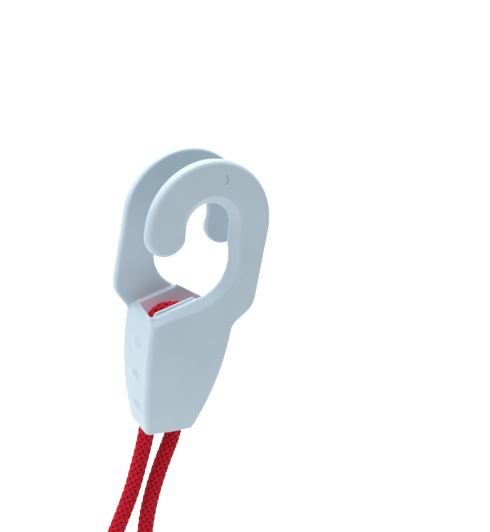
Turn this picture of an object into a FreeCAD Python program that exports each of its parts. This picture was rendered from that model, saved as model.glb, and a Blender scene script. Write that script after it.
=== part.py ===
import FreeCAD, Part
import os
import math
from FreeCAD import Vector, Rotation, Placement

doc = FreeCAD.newDocument("RailHook")

# ---------------------------------------------------------------- dimensions
# Millimetres. Origin on the axis of the rail seat, midway between the two
# curled plates; +Y runs along the rail, +Z is up.
sheet = doc.addObject("Spreadsheet::Sheet", "Dimensions")
sheet.Label = "dims"
ROW = [0]
VAL = {}


def dim(alias, value):
    ROW[0] += 1
    sheet.set("A%d" % ROW[0], alias)
    sheet.set("B%d" % ROW[0], repr(float(value)))
    sheet.setAlias("B%d" % ROW[0], alias)
    VAL[alias] = float(value)


dim("body_depth", 34.0)            # over the outer faces of the two plates
dim("plate_thick", 6.2)            # each curled plate
dim("curl_radius", 36.4)           # outside of the curl
dim("seat_radius", 13.0)           # rail seat inside the curl
dim("tip_radius", 11.7)            # rounded tip of the curl
dim("tip_drop", 4.7)               # tip centre below the rail axis
dim("plate_half_width", 24.6)      # where a plate runs into the housing
dim("plate_root", 66.0)
dim("arm_radius", 21.66)           # inner edge of the arm, below the seat
dim("arm_reach", 16.0)             # widest half width inside the arm
dim("arm_centre", 19.5)
dim("sill_slope", 23.9)            # degrees, the sill over the housing wall
dim("sill_corner", 5.0)
dim("shoulder_radius", 13.0)       # round of the shoulder
dim("shoulder_lean", 46.0)         # degrees from the vertical
dim("throat_radius", 9.0)          # hollow under the shoulder
dim("throat_start", 59.0)
dim("rim_round", 2.9)              # rounding of the plates' rims
dim("inner_round", 1.6)            # rounding towards the gap between the plates
dim("bevel_radial", 4.6)           # flare of the rail opening
dim("bevel_axial", 3.8)
dim("housing_depth", 33.9)
dim("housing_half_width", 24.9)
dim("housing_side_radius", 205.0)  # convex side, seen from the front
dim("housing_face_radius", 300.0)  # convex face, seen from the side
dim("housing_top", 50.5)           # all heights below are under the rail axis
dim("side_tangent", 55.0)
dim("face_tangent", 60.0)
dim("housing_foot", 119.8)
dim("foot_twist", 0.0087)          # how much the foot edge of each broad face slants
dim("corner_round", 2.9)
dim("leg_clearance", 0.3)
dim("cavity_half_depth", 9.4)
dim("cavity_face_radius", 1243.0)
dim("sleeve_half_depth", 10.9)
dim("lip_thick", 1.6)
dim("lip_slope", 0.424)
dim("lip_end_x", 1.1)
dim("lip_end_drop", 40.1)
dim("wall_top", 51.4)              # side walls beside the window
dim("wall_fall", 0.199)
dim("ledge_top", 41.3)
dim("ledge_slope", 0.415)
dim("ridge_rise", 1.3)
dim("ridge_half_length", 6.5)
dim("ridge_half_height", 3.6)
dim("ridge_pitch", 18.6)
dim("pin_mark_radius", 2.6)
dim("pin_mark_depth", 0.25)
dim("cord_dia", 9.5)
dim("wedge_thick", 12.8)
dim("wedge_foot", 110.0)
dim("wedge_clearance", 0.15)
dim("wedge_round", 1.5)
dim("bight_radius", 9.5)           # cord centreline over the wedge's shoulders
dim("leg_top_x", 16.2)
dim("leg_exit_x", 8.6)
dim("bight_top", 51.1)
doc.recompute()


def E(expr):
    return expr.replace("$", "<<dims>>.")


def plane(body, role):
    for f in body.Origin.OriginFeatures:
        if f.Role == role:
            return f
    raise RuntimeError(role)


def new_body(label, internal=None):
    b = doc.addObject("PartDesign::Body", internal or label)
    b.Label = label
    return b


def outline(body, name, role, segs, offset=0.0):
    """Closed profile: segs are ('L', end) or ('A', middle, end); segs[0] is the start."""
    import Sketcher
    sk = body.newObject("Sketcher::SketchObject", name)
    sk.AttachmentSupport = [(plane(body, role), "")]
    sk.MapMode = "FlatFace"
    if offset:
        sk.AttachmentOffset = Placement(Vector(0, 0, offset), Rotation())
    V3 = lambda p: Vector(p[0], p[1], 0)
    cur = segs[0]
    geo = []
    for s in segs[1:]:
        if s[0] == "L":
            geo.append(Part.LineSegment(V3(cur), V3(s[1])))
            cur = s[1]
        else:
            geo.append(Part.Arc(V3(cur), V3(s[1]), V3(s[2])))
            cur = s[2]
    ids = sk.addGeometry(geo, False)
    for g in ids:
        sk.addConstraint(Sketcher.Constraint("Block", g))
    doc.recompute()
    if "Invalid" in sk.State or sk.Shape.isNull() or not sk.Shape.Wires or not sk.Shape.Wires[0].isClosed():
        raise RuntimeError("profile %s failed: %s" % (name, sk.State))
    return sk


def pad(body, sk, name, expr, midplane=True):
    p = body.newObject("PartDesign::Pad", name)
    p.Profile = sk
    if hasattr(p, "SideType"):
        p.SideType = "Symmetric" if midplane else "One side"
    else:
        p.Midplane = midplane
    p.Length = 10
    p.setExpression("Length", E(expr))
    doc.recompute()
    return p


def fillet(body, base, name, edges, expr):
    f = body.newObject("PartDesign::Fillet", name)
    f.Base = (base, edges)
    f.Radius = 1
    f.setExpression("Radius", E(expr))
    doc.recompute()
    return f


def arc_x(radius, half, tangent, z):
    return half - (radius - math.sqrt(radius ** 2 - (z - tangent) ** 2))


H = VAL
foot = -H["housing_foot"]
# ------------------------------------------------------------ tapered housing
W = lambda z: arc_x(H["housing_side_radius"], H["housing_half_width"], -H["side_tangent"], z)
D = lambda z: arc_x(H["housing_face_radius"], H["housing_depth"] / 2, -H["face_tangent"], z)


def taper_block(label, wfun, hw, zt, dfun, hd, zd, top, bottom, depth_expr):
    """Block with convex sides (front view) and convex faces (side view)."""
    b = new_body(label)
    zb = bottom
    mid = (zt + zb) / 2
    prof = [(-hw, top), ("L", (-hw, zt)), ("A", (-wfun(mid), mid), (-wfun(zb), zb)),
            ("L", (wfun(zb), zb)), ("A", (wfun(mid), mid), (hw, zt)),
            ("L", (hw, top)), ("L", (-hw, top))]
    sk = outline(b, label + "_front", "XZ_Plane", prof)
    p = pad(b, sk, label + "_pad", depth_expr)
    v0 = p.Shape.Volume
    # the two faces lean in towards the foot: cut the waste beside the side view
    big = hd + 12
    midd = (zd + zb) / 2
    for sgn, tag in ((1, "rear"), (-1, "fore")):
        prof = [(sgn * hd, zd), ("A", (sgn * dfun(midd), midd), (sgn * dfun(zb), zb)),
                ("L", (sgn * dfun(zb), zb - 2)), ("L", (sgn * big, zb - 2)),
                ("L", (sgn * big, zd)), ("L", (sgn * hd, zd))]
        s2 = outline(b, label + "_" + tag, "YZ_Plane", prof)
        c = b.newObject("PartDesign::Pocket", label + "_" + tag + "_cut")
        c.Profile = s2
        c.Type = "ThroughAll"
        if hasattr(c, "SideType"):
            c.SideType = "Symmetric"
        else:
            c.Midplane = True
        doc.recompute()
        v1 = c.Shape.Volume
        print(label, tag, "cut", round(v0 - v1, 1), "of", round(v0, 1), c.State)
        if not v1 < v0 - 50:
            raise RuntimeError("side cut of %s removed nothing" % label)
        v0 = v1
    return b


hous = taper_block("housing_block", W, H["housing_half_width"], -H["side_tangent"],
                   D, H["housing_depth"] / 2, -H["face_tangent"],
                   -H["housing_top"], foot - 3.0, "$housing_depth")
base = hous.Tip
corner = []
for i, e in enumerate(base.Shape.Edges):
    bb = e.BoundBox
    if bb.ZLength > 2 and bb.XMin * bb.XMax > 0 and bb.YMin * bb.YMax > 0:
        corner.append("Edge%d" % (i + 1))
f1 = fillet(hous, base, "housing_corners", corner, "$corner_round")

# ------------------------------------------------------------- curled plates
Rc, Rs, Rt, td = H["curl_radius"], H["seat_radius"], H["tip_radius"], H["tip_drop"]
pw = H["plate_half_width"]
rad = math.radians


def on(c, r, a):
    return (c[0] + r * math.cos(rad(a)), c[1] + r * math.sin(rad(a)))


def arc(c, r, a0, a1):
    return ("A", on(c, r, (a0 + a1) / 2), on(c, r, a1))


# outer edge: wall, throat, shoulder, arm, curl, rounded tip
lean = H["shoulder_lean"]
rt_, rsh = H["throat_radius"], H["shoulder_radius"]
run = (Rc - pw - (rt_ + rsh) * (1 - math.cos(rad(lean)))) / math.sin(rad(lean))
z0 = -H["throat_start"]
c1 = (pw + rt_, z0)
p1 = on(c1, rt_, 180 - lean)
p2 = (p1[0] + run * math.sin(rad(lean)), p1[1] + run * math.cos(rad(lean)))
c2 = (Rc - rsh, p2[1] + rsh * math.sin(rad(lean)))
tc = (-(Rs + Rt), -td)
# inner edge: seat, relieved arm, sill sloping down to the free corner
ab = H["arm_radius"]
cb = (H["arm_reach"] - ab, -H["arm_centre"])
phi = 2 * math.degrees(math.atan((H["arm_reach"] - Rs) / H["arm_centre"]))
ra = H["arm_centre"] / math.sin(rad(phi)) - ab
ca = (Rs + ra, 0.0)
sl = H["sill_slope"]
q1 = on(cb, ab, -90 + sl)
zs = q1[1] + (-pw - q1[0]) * math.tan(rad(sl))     # sill line met with the side wall
cr = H["sill_corner"]
tl = cr * math.tan(rad((90 - sl) / 2))
q2 = (-pw + tl * math.cos(rad(sl)), zs + tl * math.sin(rad(sl)))
c3 = (-pw + cr, zs - tl)
root, rr5 = -H["plate_root"], 5.0
PLATE = [(pw, root + rr5),
         ("L", (pw, z0)),
         arc(c1, rt_, 180, 180 - lean),
         ("L", p2),
         arc(c2, rsh, -lean, 0),
         ("L", (Rc, 0.0)),
         arc((0, 0), Rc, 0, 180),
         ("L", (-Rc, -td)),
         arc(tc, Rt, 180, 360),
         ("L", (-Rs, 0.0)),
         arc((0, 0), Rs, 180, 0),
         arc(ca, ra, 180, 180 + phi),
         arc(cb, ab, phi, -90 + sl),
         ("L", q2),
         arc(c3, cr, 90 + sl, 180),
         ("L", (-pw, root + rr5)),
         arc((-pw + rr5, root + rr5), rr5, 180, 270),
         ("L", (pw - rr5, root)),
         arc((pw - rr5, root + rr5), rr5, -90, 0)]


def plate(label):
    b = new_body(label)
    off = H["body_depth"] / 2 - H["plate_thick"] / 2
    sk = outline(b, label + "_outline", "XZ_Plane", PLATE, off)
    sk.setExpression("AttachmentOffset.Base.z", E("$body_depth / 2 - $plate_thick / 2"))
    doc.recompute()
    p = pad(b, sk, label + "_pad", "$plate_thick")
    yf = -H["body_depth"] / 2
    for y, tag, expr in ((yf, "outer", "$rim_round"), (yf + H["plate_thick"], "inner", "$inner_round")):
        shp = b.Tip.Shape
        ed = [i for i, e in enumerate(shp.Edges)
              if abs(e.BoundBox.YMin - y) < 1e-3 and abs(e.BoundBox.YMax - y) < 1e-3]
        fillet(b, b.Tip, label + "_" + tag, ["Edge%d" % (i + 1) for i in ed], expr)
    if b.Shape.isNull() or not b.Shape.isValid():
        raise RuntimeError(label + " rim failed")
    return b


def feat(kind, label, **kw):
    o = doc.addObject(kind, label)
    for k, v in kw.items():
        if isinstance(v, str) and v.startswith("="):
            o.setExpression(k, E(v[1:]))
        else:
            setattr(o, k, v)
    return o


# bevels that open the rail passage towards the outer face of a plate
bev, bax = H["bevel_radial"], H["bevel_axial"]
ypos = -H["body_depth"] / 2
toY = Rotation(Vector(1, 0, 0), -90)      # a primitive's own Z turned to +Y


def cone(label, c, r):
    o = feat("Part::Cone", label, Radius1=r + bev * (bax + 1) / bax, Radius2=r, Height=bax + 1)
    o.Placement = Placement(Vector(c[0], ypos - 1, c[1]), toY)
    return o


seat_cone = cone("seat_flare", (0, 0), Rs)
# the same flare runs on down the arm and along the sill
k18 = (bax + 1) / bax
SILL_A = [(0.5, -40.6), (-16.0, -47.9), (-21.6, -50.5), (-27.0, -53.4)]
SILL_B = [(1.1, -45.9), (-15.5, -51.7), (-21.0, -53.9), (-26.6, -57.0)]


def flare_wire(y, d, sill):
    V = lambda p_: Vector(p_[0], y, p_[1])
    A_ = lambda c_, r_, a0, a1: Part.Arc(V(on(c_, r_, a0)), V(on(c_, r_, (a0 + a1) / 2)), V(on(c_, r_, a1))).toShape()
    Ls = lambda p_, q_: Part.LineSegment(V(p_), V(q_)).toShape()
    e_arm = on(cb, ab + d, -90 + 32)
    w = [Ls((0, 0), (Rs + d, 0)), A_(ca, ra - d, 180, 180 + phi), A_(cb, ab + d, phi, -90 + 32),
         Ls(e_arm, sill[0]), Ls(sill[0], sill[1]),
         Part.Arc(V(sill[1]), V(sill[2]), V(sill[3])).toShape(), Ls(sill[3], (0, 0))]
    return Part.Wire(w)


out18 = [(a_[0] + (b_[0] - a_[0]) * k18, a_[1] + (b_[1] - a_[1]) * k18) for a_, b_ in zip(SILL_A, SILL_B)]
arm_tool = doc.addObject("Part::Feature", "arm_flare")
arm_tool.Shape = Part.makeLoft([flare_wire(ypos + bax, 0.0, SILL_A), flare_wire(ypos - 1, bev * k18, out18)], True, True)
doc.recompute()
for o in (seat_cone, arm_tool):
    print(o.Label, round(o.Shape.Volume, 1), o.Shape.isValid())

front = plate("front_curl")
print("front", front.Shape.isValid(), round(front.Shape.Volume, 1))
plate_cut = front
for t, nm in ((seat_cone, "front_a"),):
    c = doc.addObject("Part::Cut", nm)
    c.Base, c.Tool = plate_cut, t
    doc.recompute()
    print(nm, c.State, c.Shape.isValid(), round(c.Shape.Volume, 1), len(c.Shape.Solids))
    plate_cut = c
# the second plate is the first one turned half round about the vertical
rear = doc.addObject("Part::Feature", "rear_curl")
rs = plate_cut.Shape.copy()
rs.rotate(Vector(0, 0, 0), Vector(0, 0, 1), 180)
rear.Shape = rs

# ------------------------------------------- inner sleeve, lips and ridges
sh, hd0 = H["sleeve_half_depth"], H["cavity_half_depth"]
lg, lm = -H["ledge_top"], H["ledge_slope"]
rise = sh - hd0
SLEEVE = [(-22.6, -70.0), ("L", (22.6, -70.0)), ("L", (22.6, lg + rise - lm * 22.6)), ("L", (0.6, lg + rise)),
          ("L", (-0.6, lg + rise)), ("L", (-22.6, lg + rise - lm * 22.6)), ("L", (-22.6, -70.0))]
sleeve = new_body("sleeve")
pad(sleeve, outline(sleeve, "sleeve_outline", "XZ_Plane", SLEEVE), "sleeve_pad", "2 * $sleeve_half_depth")


def turned(shape):
    c_ = shape.copy()
    c_.rotate(Vector(0, 0, 0), Vector(0, 0, 1), 180)
    return c_


def computed(label, shape):
    o_ = doc.addObject("Part::Feature", label)
    o_.Shape = shape
    return o_


# the ledge inside the wall under an arm is chamfered towards the window
run_ = Vector(26.0, 0, 26.0 * lm)
c0 = Vector(-26.0, 0, lg - 26.0 * lm)
tri = [c0 + Vector(0, y_, z_) for y_, z_ in ((hd0 - 0.4, -0.4), (sh + 0.3, rise + 0.3), (sh + 0.3, rise + 3), (hd0 - 0.4, rise + 3))]
cham = Part.Face(Part.makePolygon(tri + [tri[0]])).extrude(run_)
ledge_l = computed("ledge_chamfer_left", cham)
ledge_r = computed("ledge_chamfer_right", turned(cham))
# side walls beside the window: rounded top that falls towards the free corner
zt0, fall = -H["wall_top"], H["wall_fall"]
y0, y1 = -(sh - 0.06), H["body_depth"] / 2 - H["plate_thick"] - 0.06
PW = lambda x_, z_: Vector(x_, y0, z_ + fall * y0)
ww = Part.Wire([Part.Arc(PW(-21.1, zt0), PW(-23.7, zt0 - 1.0), PW(-25.2, zt0 - 3.6)).toShape(),
                Part.LineSegment(PW(-25.2, zt0 - 3.6), PW(-30, zt0 - 3.6)).toShape(),
                Part.LineSegment(PW(-30, zt0 - 3.6), PW(-30, -30)).toShape(),
                Part.LineSegment(PW(-30, -30), PW(-21.1, -30)).toShape(),
                Part.LineSegment(PW(-21.1, -30), PW(-21.1, zt0)).toShape()])
wt = Part.Face(ww).extrude(Vector(0, y1 - y0, fall * (y1 - y0)))
wall_l = computed("wall_top_left", wt)
wall_r = computed("wall_top_right", turned(wt))
body_core = doc.addObject("Part::MultiFuse", "housing_core")
body_core.Shapes = [hous, sleeve]
core_trim = doc.addObject("Part::MultiFuse", "housing_trims")
core_trim.Shapes = [ledge_l, ledge_r, wall_l, wall_r]
core = doc.addObject("Part::Cut", "housing_trimmed")
core.Base, core.Tool = body_core, core_trim
doc.recompute()
print("core", core.State, core.Shape.isValid(), len(core.Shape.Solids), round(core.Shape.Volume, 1))
# upright lip between window and sill
le, ls_ = H["lip_end_x"], H["lip_slope"]
lipz = lambda x: -H["lip_end_drop"] + (x + le) * ls_
LIP = [(-21.9, lipz(-21.9) - 5.0), ("L", (-le, lipz(-le) - 5.0)), ("L", (-le, lipz(-le) - 0.5)),
       ("L", (-le - 0.5, lipz(-le - 0.5))), ("L", (-21.2, lipz(-21.2))), ("L", (-21.9, lipz(-21.9) - 0.9)),
       ("L", (-21.9, lipz(-21.9) - 5.0))]
lip = new_body("lip")
lsk = outline(lip, "lip_outline", "XZ_Plane", LIP, 11.0)
lsk.setExpression("AttachmentOffset.Base.z", E("$cavity_half_depth + $lip_thick / 2"))
doc.recompute()
pad(lip, lsk, "lip_pad", "$lip_thick")
lip2 = computed("rear_lip", turned(lip.Shape))
ridges = []
for side in (-1, 1):
    for k in range(3):
        z = -69.0 - k * H["ridge_pitch"]
        slope = math.asin((-z - H["side_tangent"]) / H["housing_side_radius"])
        r = feat("Part::Ellipsoid", "grip_%s%d" % ("l" if side < 0 else "r", k + 1),
                 Radius1=1.6, Radius2="=$ridge_half_length", Radius3="=$ridge_half_height")
        r.setExpression("Radius1", E("$ridge_rise * 2"))
        # own axes: Radius1 along Z, Radius2 along X, Radius3 along Y
        m = FreeCAD.Matrix()
        ex = Vector(0, 1, 0)
        ez = Vector(side * math.cos(slope), 0, -math.sin(slope))
        ey = ez.cross(ex)
        r.Placement = Placement(Vector(side * (W(z) - H["ridge_rise"]), 0, z), Rotation(ex, ey, ez, "ZXY"))
        ridges.append(r)
doc.recompute()
outer = doc.addObject("Part::MultiFuse", "outer_form")
outer.Shapes = [core, plate_cut, rear, lip, lip2] + ridges
doc.recompute()
print("outer", outer.State, outer.Shape.isValid(), len(outer.Shape.Solids), round(outer.Shape.Volume, 1))

# ------------------------------------------------------------------- cavity
# The cord's two legs lie along the cavity's side walls: upright beside the
# wedge's shoulders, leaning in, then upright again in the mouth.
R0 = H["cord_dia"] / 2
xt, xe = H["leg_top_x"], H["leg_exit_x"]
zt_ = -(H["bight_top"] + H["bight_radius"])
half = 2 * math.atan((xt - xe) / (zt_ - foot))
RL = (zt_ - foot) / math.sin(half) / 2
ph = math.degrees(half)


def leg(side, off, z_end=foot):
    """Outline of one leg's path moved outwards by off, top to bottom."""
    c_a = (side * (xt - RL), zt_)
    c_b = (side * (xe + RL), foot)
    ra_, rb_ = RL + off, RL - off
    a_mid = (side * (xt - RL + ra_ * math.cos(half / 2)), zt_ - ra_ * math.sin(half / 2))
    a_end = (side * (xt - RL + ra_ * math.cos(half)), zt_ - ra_ * math.sin(half))
    t1 = math.asin((z_end - foot) / rb_)
    tm = (t1 + half) / 2
    b_mid = (side * (xe + RL - rb_ * math.cos(tm)), foot + rb_ * math.sin(tm))
    b_end = (side * (xe + RL - rb_ * math.cos(t1)), foot + rb_ * math.sin(t1))
    start = (side * (xt + off), zt_)
    return start, ("A", a_mid, a_end), ("A", b_mid, b_end)


def backwards(start, segs):
    pts = [start] + [q_[-1] for q_ in segs]
    out = []
    for i in range(len(segs) - 1, -1, -1):
        out.append((segs[i][0],) + tuple(segs[i][1:-1]) + (pts[i],))
    return pts[-1], out


gap = H["leg_clearance"]
ls, la, lb = leg(-1, R0 + gap)
rstart, rsegs = backwards(*((leg(1, R0 + gap)[0], leg(1, R0 + gap)[1:])))
cav = new_body("cord_cavity")
CAV = [(ls[0], -30.0), ("L", ls), la, lb, ("L", (lb[2][0], foot - 6)), ("L", (rstart[0], foot - 6)),
       ("L", rstart)] + rsegs + [("L", (-ls[0], -30.0)), ("L", (ls[0], -30.0))]
pad(cav, outline(cav, "cord_cavity_front", "XZ_Plane", CAV), "cord_cavity_pad", "2 * $cavity_half_depth")
CD = lambda z: arc_x(H["cavity_face_radius"], H["cavity_half_depth"], -H["face_tangent"], z)
hd, zd, zb = H["cavity_half_depth"], -H["face_tangent"], foot - 6
for sgn, tag in ((1, "rear"), (-1, "fore")):
    midd = (zd + zb) / 2
    v0 = cav.Shape.Volume
    s2 = outline(cav, "cord_cavity_" + tag, "YZ_Plane",
                 [(sgn * hd, zd), ("A", (sgn * CD(midd), midd), (sgn * CD(zb), zb)),
                  ("L", (sgn * CD(zb), zb - 2)), ("L", (sgn * (hd + 8), zb - 2)),
                  ("L", (sgn * (hd + 8), zd)), ("L", (sgn * hd, zd))])
    c = cav.newObject("PartDesign::Pocket", "cord_cavity_" + tag + "_cut")
    c.Profile = s2
    c.Type = "ThroughAll"
    if hasattr(c, "SideType"):
        c.SideType = "Symmetric"
    else:
        c.Midplane = True
    doc.recompute()
    if not cav.Shape.Volume < v0 - 50:
        raise RuntimeError("cavity side cut removed nothing")
mark_out = feat("Part::Cylinder", "pin_mark_outer", Radius="=$pin_mark_radius", Height=1)
mark_in = feat("Part::Cylinder", "pin_mark_inner", Radius=1, Height=2)
mark_in.setExpression("Radius", E("$pin_mark_radius - 0.35"))
for o in (mark_out, mark_in):
    o.Placement = Placement(Vector(2.1, ypos - 1 + H["pin_mark_depth"], 26.4), toY)
mark = doc.addObject("Part::Cut", "pin_mark")
mark.Base, mark.Tool = mark_out, mark_in
waste = doc.addObject("Part::MultiFuse", "waste")
tw = H["foot_twist"]
fz = lambda x_, y_: foot - tw * x_ * y_
quad = lambda y_: Part.makePolygon([Vector(-22, y_, fz(-22, y_)), Vector(22, y_, fz(22, y_)), Vector(22, y_, foot - 20),
                                    Vector(-22, y_, foot - 20), Vector(-22, y_, fz(-22, y_))])
foot_trim = computed("foot_trim", Part.makeLoft([quad(-20), quad(20)], True, True))
print("foot trim", foot_trim.Shape.isValid(), round(foot_trim.Shape.Volume, 1))
arm_tool_rear = computed("arm_flare_rear", turned(arm_tool.Shape))
waste.Shapes = [cav, mark, foot_trim, arm_tool, arm_tool_rear]
hook_cut = doc.addObject("Part::Cut", "hook_cut")
hook_cut.Base, hook_cut.Tool = outer, waste
doc.recompute()
# the flare parts thin crumbs of rim from the moulding, which is the large solid
crumbs = sorted(hook_cut.Shape.Solids, key=lambda q_: q_.Volume)
print("crumbs", [(round(q_.Volume, 3), [round(v_, 1) for v_ in (q_.BoundBox.XMin, q_.BoundBox.YMin, q_.BoundBox.ZMin, q_.BoundBox.XMax, q_.BoundBox.YMax, q_.BoundBox.ZMax)]) for q_ in crumbs[:-1]])
if sum(q_.Volume for q_ in crumbs[:-1]) > 20:
    raise RuntimeError("the flare cuts too much off")
hook = computed("hook_body", crumbs[-1])
print("hook", hook.State, hook.Shape.isValid(), len(hook.Shape.Solids), round(hook.Shape.Volume, 1), hook.Shape.BoundBox)

# -------------------------------------------------------------- wedge
wg = H["wedge_clearance"]
ws, wa, wb = leg(1, -(R0 + wg), -H["wedge_foot"])
lws, lwa, lwb = leg(-1, -(R0 + wg), -H["wedge_foot"])
lend, lback = backwards(lws, [lwa, lwb])
br = H["bight_radius"] - R0 - wg
cx, cz = xt - H["bight_radius"], zt_
WEDGE = [(cx, cz + br), ("A", on((cx, cz), br, 45), ws), wa, wb, ("L", lend)] + lback + \
        [("A", on((-cx, cz), br, 135), (-cx, cz + br)), ("L", (cx, cz + br))]
wedge = new_body("cord_wedge", "cord_wedge")
wp = pad(wedge, outline(wedge, "wedge_front", "XZ_Plane", WEDGE), "wedge_pad", "$wedge_thick")
we = []
for i, e in enumerate(wp.Shape.Edges):
    bb = e.BoundBox
    if bb.YLength < 1e-3:
        we.append("Edge%d" % (i + 1))
fillet(wedge, wp, "wedge_rims", we, "$wedge_round")

# -------------------------------------------------------------- cord
def tube(label, edges_, r):
    path = Part.Wire(edges_)
    e0 = path.Edges[0]
    p0 = path.OrderedVertexes[0].Point
    t0 = e0.tangentAt(e0.FirstParameter)
    if (e0.valueAt(e0.FirstParameter) - p0).Length > 1e-6:
        t0 = e0.tangentAt(e0.LastParameter)
    prof = Part.Wire([Part.makeCircle(r, p0, t0)])
    sol = path.makePipeShell([prof], True, True)
    if sol.ShapeType != "Solid":
        sol = sol.Solids[0]
    ratio = sol.Volume / (math.pi * r * r * path.Length)
    print(label, "length", round(path.Length, 2), "volume ratio", round(ratio, 4))
    if abs(ratio - 1) > 0.01:
        raise RuntimeError(label + " tube volume")
    o = doc.addObject("Part::Feature", label)
    o.Label = label
    o.Shape = sol
    o.Placement = Placement()
    return o, path.Length


# held bight: up one wall, over the wedge, down the other wall
X = lambda p_: Vector(p_[0], 0, p_[1])
A3 = lambda a_, m_, b_: Part.Arc(X(a_), X(m_), X(b_)).toShape()
l0, l1, l2_ = leg(-1, 0.0)
r0_, r1, r2_ = leg(1, 0.0)
rb = H["bight_radius"]
bight_edges = [A3(l2_[2], l2_[1], l1[2]), A3(l1[2], l1[1], l0),
               A3(l0, on((-cx, cz), rb, 135), (-cx, cz + rb)),
               Part.LineSegment(X((-cx, cz + rb)), X((cx, cz + rb))).toShape(),
               A3((cx, cz + rb), on((cx, cz), rb, 45), r0_),
               A3(r0_, r1[1], r1[2]), A3(r1[2], r2_[1], r2_[2])]
bight, bight_len = tube("cord_bight", bight_edges, R0)

# free loop below the housing: route points, then runs joined by tangent arcs
ROUTE = [(-8.6, 0.0, foot), (-8.6, 0.0, -130.0), (-9.9, 0.1, -144.5), (-11.2, 0.3, -160.0),
         (-14.6, 0.5, -177.0), (-18.9, 0.7, -195.0), (-24.6, 0.8, -216.0), (-31.0, 0.8, -239.0),
         (-35.6, 0.6, -260.0), (-37.8, 0.4, -283.0), (-38.5, 0.1, -307.0), (-25.5, -0.2, -324.9),
         (-4.5, -0.6, -331.8), (16.5, -1.0, -324.9), (29.5, -1.3, -307.0), (28.9, -1.6, -282.0),
         (23.0, -1.8, -260.0), (15.4, -1.8, -239.0), (7.8, -1.6, -217.0), (1.5, -1.4, -198.0),
         (0.4, -1.1, -180.0), (1.2, -0.8, -165.5), (3.1, -0.5, -151.5), (5.7, -0.2, -139.5),
         (8.6, 0.0, -128.0), (8.6, 0.0, foot)]


def runs(points):
    P = [Vector(*p_) for p_ in points]
    edges_, radii, cur = [], [], P[0]
    for i in range(1, len(P) - 1):
        a_, b_, c_ = P[i - 1], P[i], P[i + 1]
        d1, d2 = (b_ - a_), (c_ - b_)
        l1_, l2 = d1.Length, d2.Length
        d1.normalize()
        d2.normalize()
        turn = d1.getAngle(d2)
        tl_ = 0.45 * min(l1_, l2)
        radii.append(tl_ / math.tan(turn / 2))
        s_, e_ = b_ - d1 * tl_, b_ + d2 * tl_
        bis = d2 - d1
        bis.normalize()
        m_ = b_ + bis * (radii[-1] * (1 / math.cos(turn / 2) - 1))
        edges_.append(Part.LineSegment(cur, s_).toShape())
        edges_.append(Part.Arc(s_, m_, e_).toShape())
        cur = e_
    edges_.append(Part.LineSegment(cur, P[-1]).toShape())
    return edges_, radii


loop_edges, radii = runs(ROUTE)
print("loop radii", [round(r_, 1) for r_ in radii])
loop, loop_len = tube("cord_loop", loop_edges, R0)

# ------------------------------------------------------------------ checks
doc.recompute()
bad = [o.Name for o in doc.Objects if "Invalid" in o.State or "Error" in o.State]
if bad:
    raise RuntimeError("failed objects: %s" % bad)
KEEP = [hook, wedge, bight, loop]
os.makedirs("parts", exist_ok=True)
for o in KEEP:
    shp = o.Shape
    if shp.isNull() or not shp.isValid() or len(shp.Solids) != 1:
        raise RuntimeError("%s is not one valid solid" % o.Label)
    bbx = shp.optimalBoundingBox(False) if hasattr(shp, "optimalBoundingBox") else shp.BoundBox
    print(o.Label, "volume", round(shp.Volume, 1), "box",
          [round(v_, 2) for v_ in (bbx.XMin, bbx.YMin, bbx.ZMin, bbx.XMax, bbx.YMax, bbx.ZMax)])
for a_, b_ in ((hook, wedge), (hook, bight), (wedge, bight), (hook, loop), (bight, loop)):
    v_ = a_.Shape.common(b_.Shape).Volume
    print("overlap", a_.Label, b_.Label, round(v_, 3), "gap", round(a_.Shape.distToShape(b_.Shape)[0], 3))
for o in KEEP:
    o.Shape.exportStep("parts/%s.step" % o.Label)
print("written", sorted(os.listdir("parts")))
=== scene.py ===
import math

import bpy
import bmesh
from mathutils import Matrix, Vector


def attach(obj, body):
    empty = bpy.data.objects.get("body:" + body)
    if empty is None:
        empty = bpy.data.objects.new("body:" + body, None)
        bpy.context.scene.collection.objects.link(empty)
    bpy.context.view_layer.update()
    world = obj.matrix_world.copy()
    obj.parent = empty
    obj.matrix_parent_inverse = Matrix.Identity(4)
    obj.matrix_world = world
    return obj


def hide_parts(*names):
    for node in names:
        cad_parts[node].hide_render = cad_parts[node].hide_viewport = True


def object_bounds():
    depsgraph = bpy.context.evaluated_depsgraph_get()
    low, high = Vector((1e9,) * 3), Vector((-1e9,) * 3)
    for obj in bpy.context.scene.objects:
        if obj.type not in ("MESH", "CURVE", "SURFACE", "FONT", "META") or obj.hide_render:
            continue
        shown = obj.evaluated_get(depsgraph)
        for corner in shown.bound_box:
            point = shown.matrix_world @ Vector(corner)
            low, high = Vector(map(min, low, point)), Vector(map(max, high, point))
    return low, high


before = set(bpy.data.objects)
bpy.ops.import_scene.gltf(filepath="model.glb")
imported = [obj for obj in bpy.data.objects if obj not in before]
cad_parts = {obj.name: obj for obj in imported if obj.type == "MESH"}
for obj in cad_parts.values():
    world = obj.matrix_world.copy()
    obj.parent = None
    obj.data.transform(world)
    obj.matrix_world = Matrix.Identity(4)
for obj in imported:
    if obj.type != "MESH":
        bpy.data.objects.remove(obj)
CAD_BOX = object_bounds()
MM = 0.001


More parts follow.
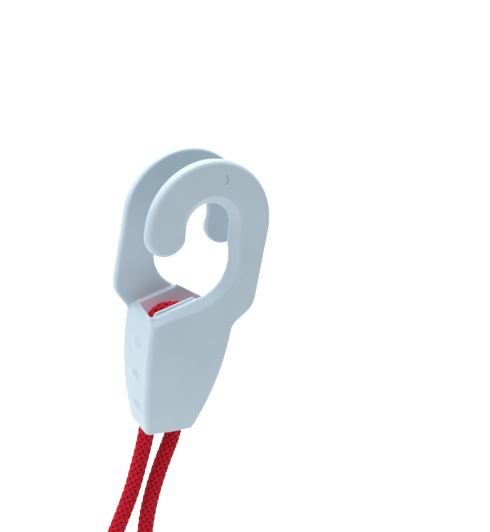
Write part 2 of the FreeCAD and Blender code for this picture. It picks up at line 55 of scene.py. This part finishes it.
# ------------------------------------------------------------------ camera
cam_data = bpy.data.cameras.new("view_camera")
cam_data.sensor_fit = "AUTO"
cam_data.sensor_width = 36.0
cam_data.lens = 67.55
cam_data.clip_start = 0.02
cam_data.clip_end = 60.0
cam = bpy.data.objects.new("view_camera", cam_data)
bpy.context.scene.collection.objects.link(cam)
right = Vector((0.84036, -0.51144, 0.17952)).normalized()
ahead = Vector((0.54202, 0.79501, -0.27235)).normalized()
up = right.cross(ahead).normalized()
right = ahead.cross(up).normalized()
rot = Matrix((right, up, -ahead)).transposed().to_4x4()
cam.matrix_world = Matrix.Translation(Vector((-0.26593, -0.44307, 0.12596))) @ rot
bpy.context.scene.camera = cam


# ------------------------------------------------------------------ helpers
def link(obj):
    bpy.context.scene.collection.objects.link(obj)
    return obj


def centreline(name, points_mm):
    """Points along the NURBS spline that has these control points."""
    cu = bpy.data.curves.new(name, "CURVE")
    cu.dimensions = "3D"
    cu.resolution_u = 24
    sp = cu.splines.new("NURBS")
    sp.points.add(len(points_mm) - 1)
    for p, q in zip(sp.points, points_mm):
        p.co = (q[0] * MM, q[1] * MM, q[2] * MM, 1.0)
    sp.order_u = 3
    sp.use_endpoint_u = True
    ob = bpy.data.objects.new(name, cu)
    link(ob)
    me = bpy.data.meshes.new_from_object(ob)
    pts = [v.co.copy() for v in me.vertices]
    bpy.data.meshes.remove(me)
    bpy.data.objects.remove(ob)
    bpy.data.curves.remove(cu)
    return pts


class Path:
    """A smooth line with arc length, and frames that turn as little as possible."""

    def __init__(self, pts):
        self.p = pts
        self.s = [0.0]
        for a, b in zip(pts, pts[1:]):
            self.s.append(self.s[-1] + (b - a).length)
        self.t = []
        n = len(pts)
        for i in range(n):
            a, b = pts[max(i - 1, 0)], pts[min(i + 1, n - 1)]
            self.t.append((b - a).normalized())
        u = Vector((0, 1, 0))
        u = (u - self.t[0] * u.dot(self.t[0])).normalized()
        self.u = [u]
        for i in range(1, n):
            u = (u - self.t[i] * u.dot(self.t[i])).normalized()
            self.u.append(u)
        self.length = self.s[-1]
        self.k = 0

    def at(self, s):
        s = min(max(s, 0.0), self.length)
        k = self.k
        while k > 0 and self.s[k] > s:
            k -= 1
        while k < len(self.s) - 2 and self.s[k + 1] < s:
            k += 1
        self.k = k
        f = (s - self.s[k]) / max(self.s[k + 1] - self.s[k], 1e-12)
        p = self.p[k].lerp(self.p[k + 1], f)
        t = self.t[k].lerp(self.t[k + 1], f).normalized()
        u = self.u[k].lerp(self.u[k + 1], f)
        u = (u - t * u.dot(t)).normalized()
        return p, t, u, t.cross(u)


def braided(name, path, s_shift, turn_per_m, r_mid=3.98, body=None):
    """Round braid of 16 carriers over a core: eight wind each way and pass over and under."""
    verts, faces, uvs, tints = [], [], [], []
    L = path.length
    step = 0.00052
    n = int(round(L / step)) + 1
    lift, half_w, half_t = 0.37 * MM, 0.95 * MM, 0.47 * MM
    ring = 8
    base = [path.at(L * i / (n - 1)) for i in range(n)]
    for way in (1, -1):
        for c in range(8):
            start = len(verts)
            for i in range(n):
                s = L * i / (n - 1)
                p, t, u, v = base[i]
                g = (s + s_shift) * turn_per_m
                th = way * 2 * math.pi * g + 2 * math.pi * c / 8
                # carriers meet where th_way = th_other: 16 crossings in a turn
                ph = 16 * math.pi * g
                wave = math.cos(ph) * way
                r = r_mid * MM + lift * wave
                # direction along the carrier
                cth, sth = math.cos(th), math.sin(th)
                radial = u * cth + v * sth
                tang = v * cth - u * sth
                d = (t + tang * (way * 2 * math.pi * turn_per_m * r)).normalized()
                side = d.cross(radial).normalized()
                squeeze = 1.0 + 0.06 * wave
                for j in range(ring):
                    a = 2 * math.pi * j / ring
                    ca, sa = math.cos(a), math.sin(a)
                    w = half_w * squeeze * (abs(ca) ** 0.85) * (1 if ca > 0 else -1)
                    h = half_t * (abs(sa) ** 0.85) * (1 if sa > 0 else -1)
                    drop = (w * w) / (2 * r)
                    verts.append(p + radial * (r + h - drop) + side * w)
            for i in range(n - 1):
                for j in range(ring):
                    k = (j + 1) % ring
                    a, b = start + i * ring + j, start + i * ring + k
                    c2, d2 = start + (i + 1) * ring + k, start + (i + 1) * ring + j
                    faces.append((a, b, c2, d2) if way > 0 else (a, b, c2, d2))
                    s0 = L * i / (n - 1)
                    s1 = L * (i + 1) / (n - 1)
                    uvs.append(((s0, j / ring), (s0, (j + 1) / ring), (s1, (j + 1) / ring), (s1, j / ring)))
                    tints.append(c + (8 if way < 0 else 0))
            for first, flip in ((start, True), (start + (n - 1) * ring, False)):
                loop = [first + j for j in range(ring)]
                faces.append(tuple(loop if flip else reversed(loop)))
                uvs.append(tuple((0.0, 0.5) for _ in loop))
                tints.append(c)
    # core
    core_r, core_n, m = 3.30 * MM, 20, int(L / 0.002) + 1
    start = len(verts)
    for i in range(m + 1):
        p, t, u, v = path.at(L * i / m)
        for j in range(core_n):
            a = 2 * math.pi * j / core_n
            verts.append(p + (u * math.cos(a) + v * math.sin(a)) * core_r)
    for i in range(m):
        for j in range(core_n):
            k = (j + 1) % core_n
            a, b = start + i * core_n + j, start + i * core_n + k
            faces.append((a, b, b + core_n, a + core_n))
            uvs.append(((0, 0.5),) * 4)
            tints.append(16)
    for first, flip in ((start, True), (start + m * core_n, False)):
        loop = [first + j for j in range(core_n)]
        faces.append(tuple(loop if flip else reversed(loop)))
        uvs.append(tuple((0.0, 0.5) for _ in loop))
        tints.append(16)
    me = bpy.data.meshes.new(name)
    me.from_pydata([tuple(q) for q in verts], [], faces)
    uv = me.uv_layers.new(name="strand")
    k = 0
    for f in uvs:
        for q in f:
            uv.data[k].uv = (q[0] * 1000.0, q[1])
            k += 1
    me.polygons.foreach_set("use_smooth", [True] * len(me.polygons))
    me.polygons.foreach_set("material_index", [1 if t_ == 16 else 0 for t_ in tints])
    bm = bmesh.new()
    bm.from_mesh(me)
    bmesh.ops.recalc_face_normals(bm, faces=bm.faces)
    bm.to_mesh(me)
    bm.free()
    ob = bpy.data.objects.new(name, me)
    link(ob)
    return ob


# ------------------------------------------------------------------- cords
# free stretch: both strands hang from the housing's foot and join in one loop
LOOP = [(-8.6, 0.0, -119.8), (-8.6, 0.0, -130.0), (-9.9, 0.1, -144.5), (-11.2, 0.3, -160.0),
        (-14.6, 0.5, -177.0), (-18.9, 0.7, -195.0), (-24.6, 0.8, -216.0), (-31.0, 0.8, -239.0),
        (-35.6, 0.6, -260.0), (-37.8, 0.4, -283.0), (-38.5, 0.1, -307.0), (-25.5, -0.2, -324.9),
        (-4.5, -0.6, -331.8), (16.5, -1.0, -324.9), (29.5, -1.3, -307.0), (28.9, -1.6, -282.0),
        (23.0, -1.8, -260.0), (15.4, -1.8, -239.0), (7.8, -1.6, -217.0), (1.5, -1.4, -198.0),
        (0.4, -1.1, -180.0), (1.2, -0.8, -165.5), (3.1, -0.5, -151.5), (5.7, -0.2, -139.5),
        (8.6, 0.0, -128.0), (8.6, 0.0, -119.8)]
# held stretch: up the left wall, over the wedge, down the right wall
BIGHT = [(8.6, 0.0, -119.8), (8.6, 0.0, -112.0), (9.35, 0.0, -104.5), (11.7, 0.0, -93.0),
         (14.4, 0.0, -80.5), (16.15, 0.0, -69.0), (16.2, 0.0, -56.4), (11.4, 0.0, -51.0),
         (4.0, 0.0, -51.0), (-4.0, 0.0, -51.0), (-11.4, 0.0, -51.0), (-16.2, 0.0, -56.4),
         (-16.15, 0.0, -69.0), (-14.4, 0.0, -80.5), (-11.7, 0.0, -93.0), (-9.35, 0.0, -104.5),
         (-8.6, 0.0, -112.0), (-8.6, 0.0, -119.8)]
bight_path = Path(centreline("bight_line", BIGHT))
loop_path = Path(centreline("loop_line", LOOP))
whole = bight_path.length + loop_path.length
TURNS = round(whole / 0.0365 * 8) / 8.0 / whole      # carriers meet again at the far exit
bight_obj = braided("cord_bight_braid", bight_path, 0.0, TURNS)
loop_obj = braided("cord_loop_braid", loop_path, bight_path.length, TURNS)
for ob, node in ((bight_obj, "cord_bight"), (loop_obj, "cord_loop")):
    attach(ob, "cord_wedge")
    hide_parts(node)
print("loop", round(loop_path.length, 4), "bight", round(bight_path.length, 4), "faces", len(loop_obj.data.polygons))


# --------------------------------------------------------------- materials
def new_mat(name):
    m = bpy.data.materials.new(name)
    m.use_nodes = True
    nt = m.node_tree
    nt.nodes.clear()
    out = nt.nodes.new("ShaderNodeOutputMaterial")
    bs = nt.nodes.new("ShaderNodeBsdfPrincipled")
    nt.links.new(bs.outputs[0], out.inputs[0])
    return m, nt, bs


def node(nt, kind, **kw):
    n = nt.nodes.new(kind)
    for k, v in kw.items():
        if k.startswith("in_"):
            n.inputs[int(k[3:])].default_value = v
        else:
            setattr(n, k, v)
    return n


def ramp(nt, stops):
    r = nt.nodes.new("ShaderNodeValToRGB")
    el = r.color_ramp.elements
    el[0].position, el[0].color = stops[0][0], stops[0][1]
    el[1].position, el[1].color = stops[-1][0], stops[-1][1]
    for pos, col in stops[1:-1]:
        e = el.new(pos)
        e.color = col
    return r


def math_node(nt, op, a, b=None, c=None):
    n = node(nt, "ShaderNodeMath", operation=op)
    for i, v in enumerate((a, b, c)):
        if v is None:
            continue
        if isinstance(v, (int, float)):
            n.inputs[i].default_value = v
        else:
            nt.links.new(v, n.inputs[i])
    return n.outputs[0]


def pin_ring_and_shade(nt, co):
    """Half ring left by the ejector pin on the outer face of the front plate; its mask drives the groove's bump and a
    painted shade that darkens the groove.
    """
    sep = node(nt, "ShaderNodeSeparateXYZ")
    nt.links.new(co.outputs["Object"], sep.inputs["Vector"])
    dx = math_node(nt, "SUBTRACT", sep.outputs["X"], 0.0021)
    dz = math_node(nt, "SUBTRACT", sep.outputs["Z"], 0.0264)
    rr = math_node(nt, "SQRT", math_node(nt, "ADD", math_node(nt, "MULTIPLY", dx, dx), math_node(nt, "MULTIPLY", dz, dz)))
    off = math_node(nt, "ABSOLUTE", math_node(nt, "SUBTRACT", rr, 0.00245))
    band = node(nt, "ShaderNodeMapRange")
    for k, v in (("From Min", 0.00010), ("From Max", 0.00032), ("To Min", 1.0), ("To Max", 0.0)):
        band.inputs[k].default_value = v
    nt.links.new(off, band.inputs["Value"])
    half = node(nt, "ShaderNodeMapRange")
    for k, v in (("From Min", 0.0), ("From Max", 0.0012), ("To Min", 0.0), ("To Max", 1.0)):
        half.inputs[k].default_value = v
    nt.links.new(dx, half.inputs["Value"])
    front = math_node(nt, "LESS_THAN", sep.outputs["Y"], -0.0155)
    return math_node(nt, "MULTIPLY", math_node(nt, "MULTIPLY", band.outputs["Result"], half.outputs["Result"]), front)


def plastic(name, base, window_bounce_and_pin_ring=False):
    m, nt, bs = new_mat(name)
    co = node(nt, "ShaderNodeTexCoord")
    n1 = node(nt, "ShaderNodeTexNoise")
    n1.inputs["Scale"].default_value = 38.0
    n1.inputs["Detail"].default_value = 3.0
    r1 = ramp(nt, [(0.3, tuple(c * 0.965 for c in base) + (1,)), (0.7, tuple(min(c * 1.02, 1) for c in base) + (1,))])
    nt.links.new(co.outputs["Object"], n1.inputs["Vector"])
    nt.links.new(n1.outputs["Fac"], r1.inputs["Fac"])
    nt.links.new(r1.outputs["Color"], bs.inputs["Base Color"])
    if window_bounce_and_pin_ring:
        # painted red bounce light: a pink tint in the base colour and an emission on the thin walls of the window
        # stand in for the cord's red light bouncing onto them and shining through them
        se = node(nt, "ShaderNodeSeparateXYZ")
        nt.links.new(co.outputs["Object"], se.inputs["Vector"])
        red_bounce_mask = None
        for axis, lim, soft in (("X", 0.0216, 0.0004), ("Y", 0.0098, 0.0006)):
            m_ = node(nt, "ShaderNodeMapRange")
            for k_, v_ in (("From Min", lim), ("From Max", lim + soft), ("To Min", 1.0), ("To Max", 0.0)):
                m_.inputs[k_].default_value = v_
            nt.links.new(math_node(nt, "ABSOLUTE", se.outputs[axis]), m_.inputs["Value"])
            red_bounce_mask = m_.outputs["Result"] if red_bounce_mask is None else math_node(nt, "MULTIPLY", red_bounce_mask, m_.outputs["Result"])
        deep = node(nt, "ShaderNodeMapRange")
        for k_, v_ in (("From Min", -0.0425), ("From Max", -0.054), ("To Min", 0.0), ("To Max", 1.0)):
            deep.inputs[k_].default_value = v_
        nt.links.new(se.outputs["Z"], deep.inputs["Value"])
        red_bounce_mask = math_node(nt, "MULTIPLY", red_bounce_mask, deep.outputs["Result"])
        ends = node(nt, "ShaderNodeMapRange")
        for k_, v_ in (("From Min", -0.060), ("From Max", -0.066), ("To Min", 1.0), ("To Max", 0.0)):
            ends.inputs[k_].default_value = v_
        nt.links.new(se.outputs["Z"], ends.inputs["Value"])
        red_bounce_mask = math_node(nt, "MULTIPLY", red_bounce_mask, ends.outputs["Result"])
        red_bounce_tint = node(nt, "ShaderNodeMix", data_type="RGBA")
        nt.links.new(math_node(nt, "MULTIPLY", red_bounce_mask, 0.7), red_bounce_tint.inputs[0])
        nt.links.new(r1.outputs["Color"], red_bounce_tint.inputs[6])
        red_bounce_tint.inputs[7].default_value = (0.74, 0.46, 0.58, 1)
        # painted glow: the window walls emit this pink light though they are no lamp
        nt.links.new(red_bounce_tint.outputs[2], bs.inputs["Emission Color"])
        nt.links.new(math_node(nt, "MULTIPLY", red_bounce_mask, 0.31), bs.inputs["Emission Strength"])
        pin = pin_ring_and_shade(nt, co)
        # painted shade: darkens the pin ring's groove toward 0.28 of the base colour
        pin_shade_mix = node(nt, "ShaderNodeMix", data_type="RGBA")
        nt.links.new(math_node(nt, "MULTIPLY", pin, 0.75), pin_shade_mix.inputs[0])
        nt.links.new(red_bounce_tint.outputs[2], pin_shade_mix.inputs[6])
        pin_shade_mix.inputs[7].default_value = tuple(c * 0.28 for c in base) + (1,)
        nt.links.new(pin_shade_mix.outputs[2], bs.inputs["Base Color"])
    n2 = node(nt, "ShaderNodeTexNoise")
    n2.inputs["Scale"].default_value = 420.0
    n2.inputs["Detail"].default_value = 4.0
    nt.links.new(co.outputs["Object"], n2.inputs["Vector"])
    rr = node(nt, "ShaderNodeMapRange")
    rr.inputs["To Min"].default_value = 0.30
    rr.inputs["To Max"].default_value = 0.42
    nt.links.new(n2.outputs["Fac"], rr.inputs["Value"])
    nt.links.new(rr.outputs["Result"], bs.inputs["Roughness"])
    n3 = node(nt, "ShaderNodeTexNoise")
    n3.inputs["Scale"].default_value = 1500.0
    n3.inputs["Detail"].default_value = 2.0
    nt.links.new(co.outputs["Object"], n3.inputs["Vector"])
    n4 = node(nt, "ShaderNodeTexNoise")
    n4.inputs["Scale"].default_value = 90.0
    n4.inputs["Detail"].default_value = 1.0
    nt.links.new(co.outputs["Object"], n4.inputs["Vector"])
    b1 = node(nt, "ShaderNodeBump")
    b1.inputs["Strength"].default_value = 0.06
    b1.inputs["Distance"].default_value = 0.0001
    nt.links.new(n3.outputs["Fac"], b1.inputs["Height"])
    b2 = node(nt, "ShaderNodeBump")
    b2.inputs["Strength"].default_value = 0.12
    b2.inputs["Distance"].default_value = 0.0006
    nt.links.new(n4.outputs["Fac"], b2.inputs["Height"])
    nt.links.new(b1.outputs["Normal"], b2.inputs["Normal"])
    nt.links.new(b2.outputs["Normal"], bs.inputs["Normal"])
    if window_bounce_and_pin_ring:
        b3 = node(nt, "ShaderNodeBump")
        b3.invert = True
        b3.inputs["Strength"].default_value = 0.8
        b3.inputs["Distance"].default_value = 0.0002
        nt.links.new(pin, b3.inputs["Height"])
        nt.links.new(b2.outputs["Normal"], b3.inputs["Normal"])
        nt.links.new(b3.outputs["Normal"], bs.inputs["Normal"])
    bs.inputs["Subsurface Weight"].default_value = 0.18
    bs.inputs["Subsurface Radius"].default_value = (0.0012, 0.0016, 0.002)
    bs.inputs["Subsurface Scale"].default_value = 1.0
    bs.inputs["IOR"].default_value = 1.46
    bs.inputs["Specular IOR Level"].default_value = 0.45
    return m


def cord_mat(name):
    m, nt, bs = new_mat(name)
    uv = node(nt, "ShaderNodeUVMap", uv_map="strand")
    sep = node(nt, "ShaderNodeSeparateXYZ")
    nt.links.new(uv.outputs["UV"], sep.inputs["Vector"])
    # yarn lines along each carrier, twisted a little
    mul = node(nt, "ShaderNodeMath", operation="MULTIPLY_ADD")
    nt.links.new(sep.outputs["Y"], mul.inputs[0])
    mul.inputs[1].default_value = 75.0
    sx = node(nt, "ShaderNodeMath", operation="MULTIPLY")
    nt.links.new(sep.outputs["X"], sx.inputs[0])
    sx.inputs[1].default_value = 1.3
    nt.links.new(sx.outputs[0], mul.inputs[2])
    sn = node(nt, "ShaderNodeMath", operation="SINE")
    nt.links.new(mul.outputs[0], sn.inputs[0])
    co = node(nt, "ShaderNodeTexCoord")
    nz = node(nt, "ShaderNodeTexNoise")
    nz.inputs["Scale"].default_value = 700.0
    nz.inputs["Detail"].default_value = 4.0
    nt.links.new(co.outputs["Object"], nz.inputs["Vector"])
    add = node(nt, "ShaderNodeMath", operation="MULTIPLY_ADD")
    nt.links.new(nz.outputs["Fac"], add.inputs[0])
    add.inputs[1].default_value = 1.6
    nt.links.new(sn.outputs[0], add.inputs[2])
    r1 = ramp(nt, [(0.0, (0.26, 0.001, 0.007, 1)), (0.45, (0.50, 0.002, 0.016, 1)), (1.0, (0.72, 0.006, 0.032, 1))])
    mr = node(nt, "ShaderNodeMapRange")
    mr.inputs["From Min"].default_value = -0.9
    mr.inputs["From Max"].default_value = 2.3
    nt.links.new(add.outputs[0], mr.inputs["Value"])
    nt.links.new(mr.outputs["Result"], r1.inputs["Fac"])
    nt.links.new(r1.outputs["Color"], bs.inputs["Base Color"])
    bmp = node(nt, "ShaderNodeBump")
    bmp.inputs["Strength"].default_value = 0.55
    bmp.inputs["Distance"].default_value = 0.00012
    nt.links.new(add.outputs[0], bmp.inputs["Height"])
    nt.links.new(bmp.outputs["Normal"], bs.inputs["Normal"])
    bs.inputs["Roughness"].default_value = 0.66
    bs.inputs["Specular IOR Level"].default_value = 0.16
    bs.inputs["Sheen Weight"].default_value = 0.03
    bs.inputs["Sheen Roughness"].default_value = 0.4
    bs.inputs["Sheen Tint"].default_value = (1.0, 0.5, 0.55, 1)
    return m


BASE = (0.44, 0.54, 0.61)
shell_mat = plastic("shell_plastic", BASE, window_bounce_and_pin_ring=True)
wedge_mat = plastic("wedge_plastic", (0.40, 0.49, 0.55))
red_mat = cord_mat("cord_red")
# painted shade: the core is coloured near-black red so the gaps between the carriers read as shaded
core_painted_shade_mat, cnt, cbs = new_mat("cord_core_painted_shade")
cno = node(cnt, "ShaderNodeTexNoise")
cno.inputs["Scale"].default_value = 900.0
crm = ramp(cnt, [(0.3, (0.10, 0.002, 0.006, 1)), (0.7, (0.21, 0.003, 0.011, 1))])
cco = node(cnt, "ShaderNodeTexCoord")
cnt.links.new(cco.outputs["Object"], cno.inputs["Vector"])
cnt.links.new(cno.outputs["Fac"], crm.inputs["Fac"])
cnt.links.new(crm.outputs["Color"], cbs.inputs["Base Color"])
cbs.inputs["Roughness"].default_value = 0.95
cbs.inputs["Specular IOR Level"].default_value = 0.1
for ob in (bight_obj, loop_obj):
    ob.data.materials.append(red_mat)
    ob.data.materials.append(core_painted_shade_mat)


def assign(node_name, mat):
    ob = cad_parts[node_name]
    if not ob.material_slots:
        ob.data.materials.append(mat)
    for s_ in ob.material_slots:
        s_.material = mat


assign("cord_wedge", wedge_mat)

# -------------------------------------------------------------- hook body
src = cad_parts["hook_body"]
me = src.data.copy()
hook = bpy.data.objects.new("hook_body_moulding", me)
link(hook)
me.materials.clear()
me.materials.append(shell_mat)
dg = bpy.context.evaluated_depsgraph_get


def apply_mods(ob):
    ev = ob.evaluated_get(dg())
    new = bpy.data.meshes.new_from_object(ev)
    ob.modifiers.clear()
    old = ob.data
    ob.data = new
    bpy.data.meshes.remove(old)


rm = hook.modifiers.new("remesh", "REMESH")
rm.mode = "VOXEL"
rm.voxel_size = 0.00042
rm.use_smooth_shade = True
apply_mods(hook)
sm = hook.modifiers.new("smooth", "SMOOTH")
sm.factor = 0.5
sm.iterations = 6
apply_mods(hook)
print("hook faces", len(hook.data.polygons))
if not hook.data.materials:
    hook.data.materials.append(shell_mat)
hook.data.polygons.foreach_set("use_smooth", [True] * len(hook.data.polygons))
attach(hook, "hook_body")
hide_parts("hook_body")

# ------------------------------------------------------------ floor, light
fl = bpy.data.meshes.new("floor")
zf = CAD_BOX[0][2] - 0.012
prof = [(0.0, 0.0), (0.8, 0.0), (1.5, 0.0)]
for i in range(1, 13):
    a = math.pi / 2 * i / 12
    prof.append((1.5 + 0.9 * math.sin(a), 0.9 - 0.9 * math.cos(a)))
prof.append((2.4, 1.7))
seg = 64
fv, ff = [], []
for r_, h_ in prof:
    for j in range(seg):
        a = 2 * math.pi * j / seg
        fv.append((r_ * math.cos(a), r_ * math.sin(a), zf + h_))
for i in range(len(prof) - 1):
    for j in range(seg):
        k = (j + 1) % seg
        ff.append((i * seg + j, i * seg + k, (i + 1) * seg + k, (i + 1) * seg + j))
fl.from_pydata(fv, [], ff)
fl.polygons.foreach_set("use_smooth", [True] * len(fl.polygons))
floor = link(bpy.data.objects.new("floor", fl))
fm, fnt, fbs = new_mat("floor_pale")
fbs.inputs["Base Color"].default_value = (0.93, 0.935, 0.94, 1)
fbs.inputs["Roughness"].default_value = 0.9
fbs.inputs["Specular IOR Level"].default_value = 0.1
fbs.inputs["Emission Color"].default_value = (1, 1, 1, 1)
fbs.inputs["Emission Strength"].default_value = 0.06
fl.materials.append(fm)

world = bpy.data.worlds.new("studio")
bpy.context.scene.world = world
world.use_nodes = True
bg = world.node_tree.nodes["Background"]
bg.inputs[0].default_value = (0.97, 0.985, 1.0, 1)
bg.inputs[1].default_value = 0.42


def area(name, loc, target, size, power, color=(1, 1, 1)):
    d = bpy.data.lights.new(name, "AREA")
    d.shape = "RECTANGLE"
    d.size, d.size_y = size
    d.energy = power
    d.color = color
    o = link(bpy.data.objects.new(name, d))
    o.location = loc
    o.rotation_euler = (Vector(target) - Vector(loc)).to_track_quat("-Z", "Y").to_euler()
    return o


area("key_left", (-1.1, -0.1, 0.55), (0, 0, -0.05), (0.45, 0.45), 4.0)
area("top", (0.0, 0.75, 1.3), (0.35, 0.9, -0.35), (1.5, 1.5), 24.0)
area("rim_top", (-0.15, 0.1, 1.0), (0, 0, 0), (0.5, 0.5), 6.5)

bpy.context.scene.view_settings.view_transform = "Standard"
